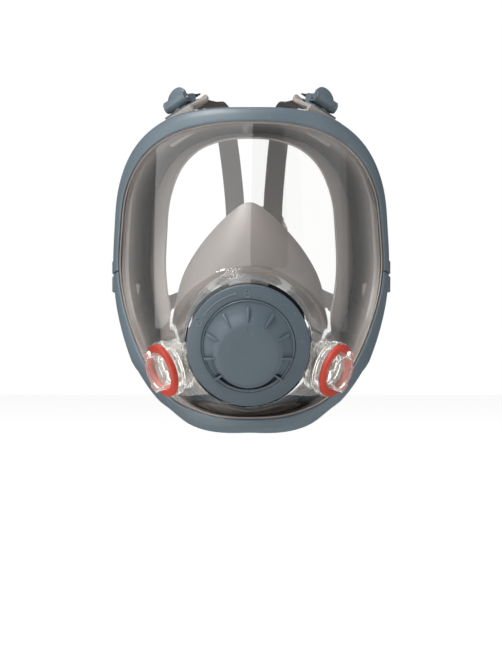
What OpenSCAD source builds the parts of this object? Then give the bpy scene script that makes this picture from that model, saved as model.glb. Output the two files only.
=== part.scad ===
// Full face respirator: a panoramic lens held in a two part clamp frame, a silicone face seal, an inner
// nose cup, two bayonet filter ports, a front exhalation valve under a twist cover, and a four strap harness.
// +X is the wearer's left, the front faces -Y and +Z is up. The origin is the middle of the face opening.
// Names ending in left or right are as seen from the front, so left is -X.

/* [Lens] */
// Radius of the lens in plan
lens_r = 100; // [98:1:104]
// How far the front of the lens stands ahead of the origin
lens_front = 72; // [68:1:76]
// Radius of the lens from top to bottom
lens_bulge_r = 400; // [350:10:500]
// Thickness of the lens
lens_t = 2.2; // [1.8:0.1:2.6]

/* [Frame] */
// Width of the frame band at its sides
band_side = 14; // [12.5:0.5:15]
// Width of the frame band at top and bottom
band_top = 11.6; // [11.2:0.2:13]

/* [Front adapter] */
// Radius of the round snout at its rim
snout_r = 43; // [42.5:0.5:45]
// How far the snout's rim stands ahead of the origin
snout_front = 95; // [92:1:98]
// Height of the snout's centre
snout_z = -53; // [-55:1:-51]
// Downward tilt of the snout
snout_tilt = 9; // [7:1:11]
// Radius of the twist cover
cover_r = 31.4; // [30:0.2:32]

/* [Filter ports] */
// Outer radius of each port body
port_r = 19.4; // [19:0.2:20]
// Bore radius of each port
port_bore_r = 11; // [10:0.5:11.5]

/* [Harness] */
// Width of each strap
strap_w = 15; // [12:0.5:15]
// Thickness of each strap
strap_t = 1.4; // [1:0.1:1.6]

/* [Hidden] */
$fn = 64;

blue_grey = "#6f8594";
silicone = "#8f8781";
clear = [0.85, 0.87, 0.86, 0.35];
orange = "#c8452e";
steel = "#b9bcc0";
webbing = "#4a4540";

// ---- small helpers ----
function unit(v) = v / norm(v);
function smooth_step(lo, hi, x) = let (t = max(0, min(1, (x - lo) / (hi - lo)))) t * t * (3 - 2 * t);
function catmull(a, b, c, d, t) =
    0.5 * (2 * b + (c - a) * t + (2 * a - 5 * b + 4 * c - d) * t * t + (3 * b - a - 3 * c + d) * t * t * t);
// A point on the closed curve through pts
function closed_at(pts, u) = let (n = len(pts), i = floor(u), k = i + n)
    catmull(pts[(k - 1) % n], pts[k % n], pts[(k + 1) % n], pts[(k + 2) % n], u - i);
// A point on the open curve through pts
function open_at(pts, u) = let (n = len(pts), i = min(n - 2, floor(u)))
    catmull(pts[max(0, i - 1)], pts[i], pts[i + 1], pts[min(n - 1, i + 2)], u - i);
// The right half of an outline, from top middle to bottom middle, with its left half added
function mirrored(half) = concat(half, [for (i = [len(half) - 2:-1:1]) [-half[i].x, half[i].y]]);

// A solid skin over a row of equal sections. wrap joins the last section to the first.
module skin(sections, wrap = false) {
    m = len(sections);
    k = len(sections[0]);
    sides = [for (i = [0:m - (wrap ? 1 : 2)], j = [0:k - 1])
        let (a = i * k + j, b = i * k + (j + 1) % k, c = ((i + 1) % m) * k + (j + 1) % k, d = ((i + 1) % m) * k + j)
        each [[a, b, c], [a, c, d]]];
    caps = wrap ? [] : [[for (j = [k - 1:-1:0]) j], [for (j = [0:k - 1]) (m - 1) * k + j]];
    polyhedron([for (s = sections) each s], concat(sides, caps), convexity = 8);
}

// ---- the outline that lens, frame and face seal share ----
// Inner edge of the frame as [x, z], right half from top to bottom
outline = mirrored([[0, 100.5], [30, 98.8], [56.5, 91.8], [76, 77.5], [88, 55], [91.8, 28], [93, -1],
    [87.8, -29], [75, -61.5], [56, -88], [29.5, -101.5], [0, -104.3]]);
outline_n = len(outline);
seam_u = 6; // the frame halves meet at this place on the outline
per_step = 4; // stations between neighbouring outline points
stations_n = outline_n * per_step;

// Forward slope of the snout's wall in each direction round it
function snout_slope(angle) =
    1.9 + 1.6 * smooth_step(-8, 20, angle) + 3.2 * smooth_step(30, 85, -angle);
function cylinder_y(x, z) =
    lens_r - lens_front - sqrt(max(1, lens_r * lens_r - x * x)) + z * z / (2 * lens_bulge_r);
function snout_y(x, z) = let (dz = z - snout_z, rho = norm([x, dz]), angle = atan2(dz, abs(x)))
    -snout_front - tan(snout_tilt) * snout_r * sin(angle) + snout_slope(angle) * (rho - snout_r);
// Outer surface of the lens: the plain wrap-round sheet blended into the snout
blend_k = 0.3;
function lens_y(x, z) = let (a = cylinder_y(x, z), b = snout_y(x, z), low = min(a, b))
    low - ln(exp(-blend_k * (a - low)) + exp(-blend_k * (b - low))) / blend_k;
function on_lens(q) = [q.x, lens_y(q.x, q.y), q.y];
nudge = 0.4;
function lens_normal(q) = let (dx = on_lens(q + [nudge, 0]) - on_lens(q - [nudge, 0]),
    dz = on_lens(q + [0, nudge]) - on_lens(q - [0, nudge])) unit(cross(dx, dz));

// Frame of reference at a place on the outline: [point, outward along the lens, outward normal]
function station(u) = let (q = closed_at(outline, u), n = lens_normal(q),
    along = unit(on_lens(closed_at(outline, u + 0.05)) - on_lens(closed_at(outline, u - 0.05))))
    [on_lens(q), unit(cross(along, n)) * -1, n];
function place(s, o, n) = s[0] + o * s[1] + n * s[2];
all_stations = [for (i = [0:stations_n - 1]) station(i / per_step)];

// ---- lens ----
lens_rings = 8;
lens_edge = 6;
function rim_point(q, r) = let (a = atan2(q.y - snout_z, q.x)) [r * cos(a), snout_z + r * sin(a)];
module lens() {
    sections = [for (i = [0:stations_n - 1]) let (s = all_stations[i], q = closed_at(outline, i / per_step),
        rim = rim_point(q, snout_r),
        across = function (k) q + (rim - q) * pow(k / lens_rings, 0.8),
        down = rim_point(q, snout_r - 2.6), lip_y = on_lens(rim).y)
        concat([place(s, lens_edge, -lens_t)],
            [for (k = [0:lens_rings - 1]) on_lens(across(k)) - lens_t * lens_normal(across(k))],
            [[down.x, lip_y + 5, down.y], [down.x, lip_y + 0.2, down.y]],
            [for (k = [lens_rings:-1:0]) on_lens(across(k))], [place(s, lens_edge, 0)])];
    color(clear) difference() {
        skin(sections, wrap = true);
        for (side = [-1, 1]) on_port(side) translate([0, 0, -34]) cylinder(r = port_neck_r + 0.1, h = 40);
    }
}

// ---- frame ----
boss_at = [96.2, 6.8];
function band_at(s) = band_top + (band_side - band_top) * smooth_step(0, 60, abs(s[0].x));
function frame_section(s) = let (w = band_at(s)) [for (p = [[0, 1.6], [0, 2.4], [1.2, 3.1], [w / 2, 3.2],
    [w - 2.2, 2.3], [w - 0.6, 0.3], [w, -2.4], [w - 0.2, -6.4], [w - 1.6, -7.2], [4.5, -7.2], [4.5, -5.1],
    [9.1, -5.1], [9.1, 1.6]]) place(s, p.x, p.y)];
seam_gap = 0.02;
module frame_half(from, to) {
    steps = round((to - from) * per_step);
    skin([for (i = [0:steps]) let (u = from + (to - from) * i / steps,
        v = i == 0 ? u + seam_gap : i == steps ? u - seam_gap : u) frame_section(station(v))]);
}
module frame_boss(z0, z1) {
    for (side = [-1, 1])
        translate([side * boss_at.x, boss_at.y, z0]) cylinder(r = 4.4, h = z1 - z0);
}
module screw_holes(r, z0, z1) {
    for (side = [-1, 1])
        translate([side * boss_at.x, boss_at.y, z0]) cylinder(r = r, h = z1 - z0);
}
module frame_upper() {
    color(blue_grey) difference() {
        union() {
            frame_half(-seam_u, seam_u);
            frame_boss(-3, 7);
        }
        screw_holes(2.1, -10, 12);
        screw_holes(3.9, 7, 16);
    }
}
module frame_lower() {
    color(blue_grey) difference() {
        union() {
            frame_half(seam_u, outline_n - seam_u);
            frame_boss(-16, -4.2);
        }
        screw_holes(2.1, -20, 4);
        for (side = [-1, 1])
            translate([side * boss_at.x, boss_at.y, -16.5]) cylinder(r = 3.5, h = 3.6, $fn = 6);
    }
}
module frame_screws() {
    color(steel) for (side = [-1, 1]) translate([side * boss_at.x, boss_at.y, 0]) {
        translate([0, 0, -15.5]) cylinder(r = 1.95, h = 22.5);
        difference() {
            translate([0, 0, 7]) cylinder(r1 = 3.6, r2 = 3, h = 2.4);
            translate([0, 0, 8.2]) cylinder(r = 1.5, h = 2, $fn = 6);
        }
    }
}
module frame_nuts() {
    color(steel) for (side = [-1, 1]) translate([side * boss_at.x, boss_at.y, -16]) difference() {
        cylinder(r = 3.4, h = 3, $fn = 6);
        translate([0, 0, -1]) cylinder(r = 2, h = 5);
    }
}

// ---- face seal ----
lip_scale = [0.667, 0.91];
fold_scale = [0.85, 0.975];
chin_reach = 8;
function lip_y(x, z) = -42 + 44 * pow(x / 63, 2) + chin_reach * pow(max(0, -z) / 100, 3);
function seal_section(s) = let (q = [s[0].x, s[0].z], out = unit([s[0].x * 1.2, 0, s[0].z]),
    lip2 = [q.x * lip_scale.x, q.y * lip_scale.y], fold2 = [q.x * fold_scale.x, q.y * fold_scale.y],
    ly = lip_y(lip2.x, lip2.y), lip = [lip2.x, ly, lip2.y],
    fold = [fold2.x, ly + 15 + 5 * pow(lip2.x / 63, 2), fold2.y],
    foot = place(s, 3.2, -8.2), mid = (foot + fold) / 2 + 1.5 * out, back = (fold + lip) / 2 + [0, 2, 0])
    [place(s, -1, 0.45), place(s, -1, 1), place(s, 8.5, 0.9), place(s, 8.5, -4.7),
    place(s, 3.7, -4.7), foot, mid, fold, fold - 3 * out + [0, 1.6, 0], back, lip + [0, 0.6, 0],
    lip - 1.2 * out, lip + [0, -0.9, 0], back + [0, -2.4, 0], fold - 4.4 * out + [0, -1.6, 0],
    mid - 2.6 * out, place(s, 1.5, -7), place(s, 1.5, -2.8), place(s, 6.5, -2.8), place(s, 6.5, 0.45)];
module face_seal() {
    color(silicone) union() {
        skin([for (s = all_stations) seal_section(s)], wrap = true);
        for (row = [0, 1], side = [-1, 1]) lug(row, side);
    }
}

// ---- harness stations: where each buckle sits ----
// [place of the buckle's base, direction of the strap, outward normal], for the right side
upper_hold = [[47.9, -18.5, 112.9], [-0.42, 0.86, 0.27], [0.49, -0.02, 0.86]];
lower_hold = [[80, 34, -26], [-0.22, 0.97, -0.04], [0.97, 0.22, 0]];
holds = [upper_hold, lower_hold];
function hold_axes(row, side) = let (h = holds[row], flip = [side, 1, 1],
    b = [h[0].x * side, h[0].y, h[0].z], v = unit([h[1].x * side, h[1].y, h[1].z]),
    w0 = [h[2].x * side, h[2].y, h[2].z], w = unit(w0 - v * (w0 * v)), u = cross(v, w)) [b, u, v, w];
module on_hold(row, side) {
    a = hold_axes(row, side);
    multmatrix([[a[1].x, a[2].x, a[3].x, a[0].x], [a[1].y, a[2].y, a[3].y, a[0].y],
        [a[1].z, a[2].z, a[3].z, a[0].z], [0, 0, 0, 1]]) children();
}
lug_t = 3;
lug_flare = 3;
// How far each lug's root lies behind the buckle, and how deep it reaches to the seal's wall
lug_root = [[13, 19.5], [30, 6.5]];
// The silicone tab that each buckle is riveted to. It grows out of the seal's wall.
module lug(row, side) {
    on_hold(row, side) difference() {
        union() {
            hull() {
                translate([0, 4, -lug_t]) cylinder(r = 9, h = lug_t - 0.1, $fn = 32);
                translate([-10 * side, 17, -lug_t]) cylinder(r = 3.5, h = lug_t - 0.1, $fn = 32);
                translate([-12 - lug_flare, -lug_root[row].x, -lug_t]) cube([24 + 2 * lug_flare, 2, lug_t - 0.1]);
            }
            translate([0, 2 - lug_root[row].x, 0]) rotate([90, 0, 0]) linear_extrude(4)
                polygon([[-15, -lug_root[row].y], [15, -lug_root[row].y], [12 + lug_flare, -0.1],
                    [-12 - lug_flare, -0.1]]);
        }
        translate([0, rivet_at, -10]) cylinder(r = 1.6, h = 20);
    }
}

// ---- buckles ----
// Places along the strap and outwards, in each buckle's own axes
rivet_at = -7;
pin_at = [-2, 6.2];
bar_at = [6.5, 5];
lever_rest = [52, 36];
// Section of the cover across the lever's front, which hides the base's ears
lever_land = [[-4.1, -0.6], [-3.9, 2.1], [-2.4, 4], [0.6, 4.9], [3.8, 4], [3.8, 1.3], [0, 0]];
module buckle_base(row, side) {
    color(blue_grey) on_hold(row, side) union() {
        difference() {
            translate([-9.8, -11, 0]) cube([19.6, 13, 1.6]);
            translate([0, rivet_at, -1]) cylinder(r = 1.6, h = 5);
        }
        for (end = [-1, 1]) difference() {
            union() {
                translate([end * 9 - 0.8, 0, 0]) rotate([90, 0, 90]) linear_extrude(1.6)
                    polygon([[0, 0], [0, 3.4], [-1, 4.4], [1.4, 8.2], [8, 7.4], [8.9, 4.4], [6.6, 2.6], [4, 0]]);
                translate([end * 9, pin_at.x, pin_at.y]) rotate([0, 90, 0])
                    cylinder(r = 3.3, h = 1.6, center = true);
            }
            translate([end * 9, pin_at.x, pin_at.y]) rotate([0, 90, 0])
                cylinder(r = 1.55, h = 4, center = true);
        }
        translate([0, bar_at.x, bar_at.y]) rotate([0, 90, 0]) cylinder(r = 1.6, h = 17, center = true);
    }
}
module buckle_lever(row, side) {
    color(blue_grey) on_hold(row, side) translate([0, pin_at.x, pin_at.y])
        rotate([lever_rest[row], 0, 0]) difference() {
            union() {
                rotate([0, 90, 0]) cylinder(r = 3.2, h = 15.4, center = true);
                translate([-7.7, 0, -1.3]) cube([15.4, 4.8, 2.6]);
                translate([-9.6, 0, 0]) rotate([90, 0, 90]) linear_extrude(19.2) polygon(lever_land);
                translate([0, 4.8, -1.3]) cylinder(r = 8.2, h = 2.6);
                rotate([-lever_rest[row] - 8, 0, 0]) translate([-7, 0, -1.2]) cube([14, 4.6, 2.4]);
            }
            for (end = [-1, 1]) translate([end * 8.75, 0, 0]) rotate([0, 90, 0])
                cylinder(r = 3.5, h = 2.1, center = true);
            rotate([0, 90, 0]) cylinder(r = 1.55, h = 30, center = true);
        }
}
module buckle_pins() {
    color(steel) for (row = [0, 1], side = [-1, 1]) on_hold(row, side)
        translate([0, pin_at.x, pin_at.y]) rotate([0, 90, 0]) cylinder(r = 1.5, h = 22, center = true);
}
module lug_rivets() {
    color(steel) for (row = [0, 1], side = [-1, 1]) on_hold(row, side) translate([0, rivet_at, 0]) {
        translate([0, 0, -lug_t - 1.6]) cylinder(r = 3, h = 1);
        translate([0, 0, -lug_t - 1]) cylinder(r = 1.5, h = lug_t + 2.8);
        translate([0, 0, 1.7]) cylinder(r1 = 3, r2 = 2, h = 0.8);
    }
}

// ---- straps ----
pad_r = 80;
pad_t = 2.6;
pad_at = 62; // the crown pad is a strip of a cylinder about this Y
function on_pad(x, z) = [x, pad_at + sqrt(pow(pad_r - pad_t - 1.9, 2) - x * x), z];
wrap_r = 1.6 + 0.2 + strap_t / 2; // centreline of the strap round the buckle's fixed bar
// Centreline of each strap behind its buckle on the right side, then its width direction at the same places
upper_route = [[32, 14, 120], [26.5, 40, 122.5], [22, 76, 116], [18.5, 108, 93], [15.5, 130, 62],
    on_pad(14.5, 42), on_pad(13, 30)];
upper_width = [[0.87, 0.36, -0.3], [0.94, 0.2, -0.24], [0.97, 0, -0.15], [0.98, -0.12, -0.08], [0.98, -0.16, 0],
    [0.98, -0.18, 0], [0.98, -0.16, 0]];
lower_route = [[74, 62, -27], [64, 90, -24], [50, 114, -17], on_pad(35, -5), on_pad(26, 4), on_pad(19, 11)];
lower_width = [[0, 0, -1], [0, 0.05, -1], [0.1, 0.05, -1], [0.35, -0.15, -0.9], [0.5, -0.15, -0.85],
    [0.5, -0.12, -0.85]];
routes = [upper_route, lower_route];
widths = [upper_width, lower_width];
tail = [[10.5, 7.3], [15.5, 6.2], [21, 5.6]];
function strap_points(row, side) = let (a = hold_axes(row, side),
    in_buckle = function (p) a[0] + p.x * a[2] + p.y * a[3],
    back = [for (p = tail) in_buckle(p)],
    round_bar = [for (t = [90:30:270]) in_buckle(bar_at + wrap_r * [cos(t), sin(t)])],
    under = [for (p = [[11, 2.4], [19, 1.6]]) in_buckle(p)],
    away = [for (p = routes[row]) [p.x * side, p.y, p.z]])
    concat([back[2], back[1], back[0]], round_bar, under, away);
function strap_widths(row, side) = let (a = hold_axes(row, side))
    concat([for (i = [0:11]) a[1]], [for (p = widths[row]) [p.x, p.y * side, p.z * side]]);
module strap(row, side) {
    points = strap_points(row, side);
    wide = strap_widths(row, side);
    n = len(points);
    fine = 2;
    color(webbing) skin([for (i = [0:(n - 1) * fine]) let (u = i / fine, p = open_at(points, u),
        d = unit(open_at(points, min(n - 1, u + 0.05)) - open_at(points, max(0, u - 0.05))),
        w0 = open_at(wide, u), w = unit(w0 - d * (w0 * d)), t = cross(d, w))
        [for (c = [[-1, -1], [-1, 1], [1, 1], [1, -1]]) p + c.x * strap_w / 2 * w + c.y * strap_t / 2 * t]]);
}

// ---- crown pad ----
module crown_pad() {
    color(silicone) intersection() {
        translate([0, pad_at, -10]) difference() {
            cylinder(r = pad_r, h = 90, $fn = 128);
            translate([0, 0, -1]) cylinder(r = pad_r - pad_t, h = 92, $fn = 128);
        }
        translate([0, 150, 0]) rotate([90, 0, 0]) linear_extrude(40) difference() {
            hull() for (p = [[15, 47], [31, 6], [20, -5]], side = [-1, 1])
                translate([side * p.x, p.y]) circle(r = 8, $fn = 32);
            for (z = [10, 20, 30]) hull() for (side = [-1, 1])
                translate([side * (17 - z * 0.28), z]) circle(r = 2.2, $fn = 24);
        }
    }
}

// ---- front adapter, built about the snout's axis with h = 0 at the snout's rim ----
module on_snout() {
    translate([0, -snout_front, snout_z]) rotate([90 + snout_tilt, 0, 0]) children();
}
neck_r = 33.4;
module ring(r0, r1, h0, h1) {
    translate([0, 0, h0]) difference() {
        cylinder(r = r1, h = h1 - h0, $fn = 128);
        translate([0, 0, -1]) cylinder(r = r0, h = h1 - h0 + 2, $fn = 128);
    }
}
module adapter_body() {
    color(blue_grey) on_snout() union() {
        ring(36.2, 38.6, -24, 1.4);
        ring(34, 40.6, 1.2, 3);
        ring(27.5, 36.4, -1.2, 0.8);
        ring(neck_r - 2.2, 38.6, -26, -24);
        ring(neck_r - 2.2, neck_r, -38, -25);
        ring(19.2, neck_r - 1, -28, -26);
    }
}
module adapter_gasket() {
    color("#55504c") on_snout() ring(38.8, 41, 0.25, 1.1);
}
module exhalation_seat() {
    color("#d9d7d0") on_snout() union() {
        ring(16.2, 19.1, -29.5, -24.6);
        ring(15.2, 17.4, -24.8, -23.8);
        for (k = [0:5]) rotate(60 * k) translate([2, -0.8, -27]) cube([14.8, 1.6, 2.2]);
        translate([0, 0, -27]) difference() {
            cylinder(r = 3.6, h = 2.4);
            translate([0, 0, -1]) cylinder(r = 1.5, h = 5);
        }
    }
}
module exhalation_valve() {
    color("#c9c2b6") on_snout() rotate_extrude($fn = 96)
        polygon([[0, -30], [1.35, -30], [1.35, -23.6], [17, -23.4], [17.6, -23.7], [17.8, -23.2], [10, -22.4], [4, -21.4], [0, -21.2]]);
}
module cover_ring() {
    color(blue_grey) on_snout() rotate_extrude($fn = 128)
        polygon([[cover_r + 0.3, 3.1], [40.8, 3.1], [41.4, 3.8], [41.4, 5.6], [40.7, 6.5],
            [36, 7.2], [cover_r + 1.2, 7.4], [cover_r + 0.3, 7]]);
    color(blue_grey) on_snout() {
        rotate(2) padlock(false);
        rotate(67) padlock(true);
        for (a = [14:4:56]) rotate(a) translate([-0.8, 38.2, 6.4]) cube([3.1, 0.7, 0.9]);
    }
}
// A plain padlock outline, its shackle swung aside when open
module padlock(open) {
    translate([0, 37, 6.3]) {
        difference() {
            translate([-1.7, -2.2, 0]) cube([3.4, 2.6, 1.2]);
            translate([-1.1, -1.6, -1]) cube([2.2, 1.4, 4]);
        }
        translate([open ? 1 : 0, 0.4, 0]) difference() {
            translate([-1.3, 0, 0]) cube([2.6, 1.9, 1.2]);
            translate([-0.8, -1, -1]) cube([1.6, 2.4, 4]);
        }
    }
}
module cover_o_ring() {
    color("#2e2c2b") on_snout() rotate_extrude($fn = 96) translate([cover_r - 2.4, 1.85]) circle(r = 0.95, $fn = 24);
}
slot_half = 47;
// The raised middle is a disc set low on the cover, so its slope is long at the top and upright at the slot
island_r = 22.6;
island_drop = 5.3;
module island(r, h0, h1) {
    translate([0, -island_drop, h0]) cylinder(r = r, h = h1 - h0);
}
function rib_length(a) = 7.6 + 2 * cos(a);
module cover_ribs() {
    for (a = [-128:32:128]) translate([0, -island_drop, 0]) rotate(a) translate([-0.7, island_r - 0.5, 8])
        rotate([90, 0, 90]) linear_extrude(1.4)
            polygon([[0, -0.4], [rib_length(a), -0.4], [rib_length(a), 2.4], [0, 5.5]]);
}
// The exhaust slot, which also trims the slope away from the island's lower wall
module slot_cut() {
    difference() {
        intersection() {
            slot_sector(60, 0);
            union() {
                translate([0, 0, 2.9]) cylinder(r = 29.3, h = 6.6);
                translate([0, 0, 9]) cylinder(r = 40, h = 6);
            }
        }
        island(island_r - 0.25, 1, 17);
    }
}
module valve_cover() {
    color(blue_grey) on_snout() difference() {
        union() {
            rotate_extrude($fn = 128) polygon([[28, 3.2], [cover_r, 3.2], [cover_r, 8], [cover_r - 0.4, 8.5],
                [cover_r - 1.2, 8.5], [29.6, 8], [28, 8]]);
            hull() {
                island(island_r, 13, 13.6);
                translate([0, 0, 6]) cylinder(r = 29.2, h = 1.8);
            }
            intersection() {
                cover_ribs();
                cylinder(r = cover_r - 0.6, h = 20);
            }
        }
        hull() {
            island(island_r - 1.7, 11, 11.6);
            translate([0, 0, 2]) cylinder(r = 24.4, h = 3.6);
        }
        slot_cut();
    }
}
module slot_sector(r, h0) {
    translate([0, 0, h0]) linear_extrude(20)
        polygon([[0, 0], [-r * sin(slot_half), -r * cos(slot_half)], [0, -r * 1.4], [r * sin(slot_half), -r * cos(slot_half)]]);
}

// ---- filter ports, built about each port's axis with h = 0 at the gasket's face ----
port_at = [60.7, -80, -71.5];
port_axis = unit([0.82, -0.47, -0.31]);
module on_port(side) {
    mirror([side < 0 ? 1 : 0, 0, 0]) translate(port_at)
        rotate([0, acos(port_axis.z), atan2(port_axis.y, port_axis.x)]) children();
}
port_neck_r = port_r - 1.9;
// A flanged collar through the lens, with a bayonet tube in front and a cross that carries the flap's stem behind
module port(side) {
    seat_r = port_bore_r + 0.8;
    color(clear) on_port(side) difference() {
        union() {
            translate([0, 0, -8.5]) cylinder(r = port_r, h = 5);
            translate([0, 0, -18]) cylinder(r = port_neck_r, h = 10);
            translate([0, 0, -4]) cylinder(r = 13, h = 8.2);
            for (a = [38, 158, 278]) rotate(a) intersection() {
                ring(12, 15.6, 1.8, 4.2);
                translate([0, -3.4, 0]) cube([20, 6.8, 10]);
            }
        }
        translate([0, 0, -7]) cylinder(r = port_bore_r, h = 20);
        translate([0, 0, -19]) cylinder(r = port_neck_r - 3.1, h = 9.8);
        translate([0, 0, -19]) cylinder(r = seat_r, h = 12);
    }
    color(clear) on_port(side) translate([0, 0, -9.2]) {
        for (a = [0, 60, 120]) rotate(a)
            translate([-seat_r - 0.6, -0.8, 0.2]) cube([2 * seat_r + 1.2, 1.6, 1.6]);
        cylinder(r = 2.6, h = 2.1);
        translate([0, 0, -3.4]) cylinder(r = 0.9, h = 4);
    }
}
module port_gasket(side) {
    color(orange) on_port(side) rotate_extrude($fn = 96)
        polygon([[13.3, -3.4], [18.3, -3.4], [18.5, -2.8], [18.5, -0.8], [17.9, 0], [14, 0], [13.3, -0.6]]);
}
module inhalation_valve(side) {
    color("#d8cdbb") on_port(side) ring(1.1, 12.6, -10.2, -9.4);
}

// ---- nose cup ----
cup_outline = mirrored([[0, 45.5], [13, 38.5], [27, 25], [38, 11.5], [47, -4], [51.5, -20], [51, -40],
    [44, -62], [30, -80], [14, -89], [0, -91.5]]);
cup_stations = 60;
cup_steps = 5;
function snout_point(r, angle, h) = [r * sin(angle),
    -snout_front - h * cos(snout_tilt) - r * cos(angle) * sin(snout_tilt),
    snout_z - h * sin(snout_tilt) + r * cos(angle) * cos(snout_tilt)];
function cup_rim(k) = let (q = closed_at(cup_outline, k / cup_stations * len(cup_outline)))
    [q.x, -52 + 27 * pow(q.x / 51, 2) + 10 * pow(max(0, -q.y) / 92, 3), q.y];
// Point on the cup's wall: t runs from the collar to the rim, inset pulls it towards the inside
function cup_wall(k, t, inset) = let (angle = 360 * k / cup_stations, rim = cup_rim(k),
    c = snout_point(36 - inset, angle, -36.4), mid = (c + rim) / 2 + [0, -7, 0] + unit([rim.x, 0, rim.z + 47]) * 5,
    r = rim - inset * unit([rim.x, 0, rim.z + 30])) c * (1 - t) * (1 - t) + mid * 2 * t * (1 - t) + r * t * t
    + [0, inset * 0.7 * t, 0];
module nose_cup() {
    color(silicone) difference() {
        skin([for (k = [0:cup_stations - 1]) let (angle = 360 * k / cup_stations, rim = cup_rim(k),
            turned = rim - 7 * unit([rim.x, 0, rim.z + 30]) + [0, -2, 0])
            concat([snout_point(neck_r + 0.15, angle, -28), snout_point(36, angle, -28)],
                [for (i = [0:cup_steps]) cup_wall(k, i / cup_steps, 0)], [turned + [0, 1.1, 0], turned],
                [for (i = [cup_steps:-1:1]) cup_wall(k, i / cup_steps, 2)],
                [snout_point(neck_r + 0.15, angle, -36.2 - 2.2)])], wrap = true);
        for (side = [-1, 1]) on_cup_valve(side) cylinder(r = 10.1, h = 30, center = true);
    }
}
cup_valve_at = [42.6, -50, -61];
cup_valve_axis = unit([0.9, -0.35, -0.26]);
module on_cup_valve(side) {
    mirror([side < 0 ? 1 : 0, 0, 0]) translate(cup_valve_at)
        rotate([0, acos(cup_valve_axis.z), atan2(cup_valve_axis.y, cup_valve_axis.x)]) children();
}
module nose_valve_seat(side) {
    color("#d9d7d0") on_cup_valve(side) difference() {
        union() {
            translate([0, 0, -5]) cylinder(r = 10, h = 9);
            translate([0, 0, 3]) cylinder(r = 11.6, h = 1.4);
        }
        translate([0, 0, -6]) cylinder(r = 8, h = 6);
        translate([0, 0, -6]) cylinder(r = 0.95, h = 12);
        for (k = [0:5]) rotate(60 * k) translate([4.8, 0, -7]) cylinder(r = 1.9, h = 14, $fn = 24);
    }
}
module nose_valve(side) {
    color("#d8cdbb") on_cup_valve(side) union() {
        translate([0, 0, -1]) cylinder(r = 7.2, h = 0.8);
        translate([0, 0, -0.5]) cylinder(r = 0.8, h = 7);
        translate([0, 0, 6.1]) cylinder(r = 1.6, h = 0.7);
    }
}

lens();
frame_upper();
frame_lower();
frame_screws();
frame_nuts();
face_seal();
nose_cup();
nose_valve_seat(-1);  // nose_valve_seat_left
nose_valve_seat(1);  // nose_valve_seat_right
nose_valve(-1);  // nose_valve_left
nose_valve(1);  // nose_valve_right
port(-1);  // port_left
port(1);  // port_right
port_gasket(-1);  // port_gasket_left
port_gasket(1);  // port_gasket_right
inhalation_valve(-1);  // inhalation_valve_left
inhalation_valve(1);  // inhalation_valve_right
adapter_body();
adapter_gasket();
exhalation_seat();
exhalation_valve();
cover_ring();
cover_o_ring();
valve_cover();
buckle_base(0, -1);  // buckle_base_upper_left
buckle_base(0, 1);  // buckle_base_upper_right
buckle_base(1, -1);  // buckle_base_lower_left
buckle_base(1, 1);  // buckle_base_lower_right
buckle_lever(0, -1);  // buckle_lever_upper_left
buckle_lever(0, 1);  // buckle_lever_upper_right
buckle_lever(1, -1);  // buckle_lever_lower_left
buckle_lever(1, 1);  // buckle_lever_lower_right
buckle_pins();
lug_rivets();
strap(0, -1);  // strap_upper_left
strap(0, 1);  // strap_upper_right
strap(1, -1);  // strap_lower_left
strap(1, 1);  // strap_lower_right
crown_pad();
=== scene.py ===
import math
import bpy
import bmesh
from mathutils import Matrix, Vector


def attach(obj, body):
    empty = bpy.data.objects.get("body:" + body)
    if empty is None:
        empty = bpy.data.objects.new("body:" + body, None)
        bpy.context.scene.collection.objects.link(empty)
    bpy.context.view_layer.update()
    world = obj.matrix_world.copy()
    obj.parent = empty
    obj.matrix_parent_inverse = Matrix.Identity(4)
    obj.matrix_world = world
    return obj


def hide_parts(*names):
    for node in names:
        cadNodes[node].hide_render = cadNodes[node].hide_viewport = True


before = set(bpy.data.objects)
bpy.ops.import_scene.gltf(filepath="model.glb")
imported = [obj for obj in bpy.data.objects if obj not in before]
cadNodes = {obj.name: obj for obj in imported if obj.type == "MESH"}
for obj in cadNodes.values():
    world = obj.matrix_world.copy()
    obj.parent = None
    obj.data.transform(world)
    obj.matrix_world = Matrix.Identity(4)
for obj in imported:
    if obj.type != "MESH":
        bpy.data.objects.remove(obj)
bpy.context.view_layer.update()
mm = 0.001
print("frame loaded with", len(cadNodes), "nodes")


# smooth curves through points
def catmull(a, b, c, d, t):
    return 0.5 * (2 * b + (c - a) * t + (2 * a - 5 * b + 4 * c - d) * t * t
                  + (3 * b - a - 3 * c + d) * t ** 3)


def closedAt(points, u):
    n, i = len(points), math.floor(u)
    return catmull(points[(i - 1) % n], points[i % n], points[(i + 1) % n], points[(i + 2) % n], u - i)


def openAt(points, u):
    n = len(points)
    i = min(n - 2, int(math.floor(u)))
    return catmull(points[max(0, i - 1)], points[i], points[i + 1], points[min(n - 1, i + 2)], u - i)


def smoothStep(low, high, x):
    t = max(0.0, min(1.0, (x - low) / (high - low)))
    return t * t * (3 - 2 * t)


def mirrored(half):
    return [Vector(p) for p in half] + [Vector((-p[0], p[1])) for p in reversed(half[1:-1])]


# rounds the corners of a closed section, so an edge catches the light
def rounded(points, radius, steps=3):
    out = []
    n = len(points)
    for i, p in enumerate(points):
        a, c = points[i - 1] - p, points[(i + 1) % n] - p
        r = min(radius, a.length * 0.45, c.length * 0.45)
        start, end = p + a.normalized() * r, p + c.normalized() * r
        for k in range(steps + 1):
            t = k / steps
            out.append(start * (1 - t) ** 2 + p * 2 * t * (1 - t) + end * t * t)
    return out


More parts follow.
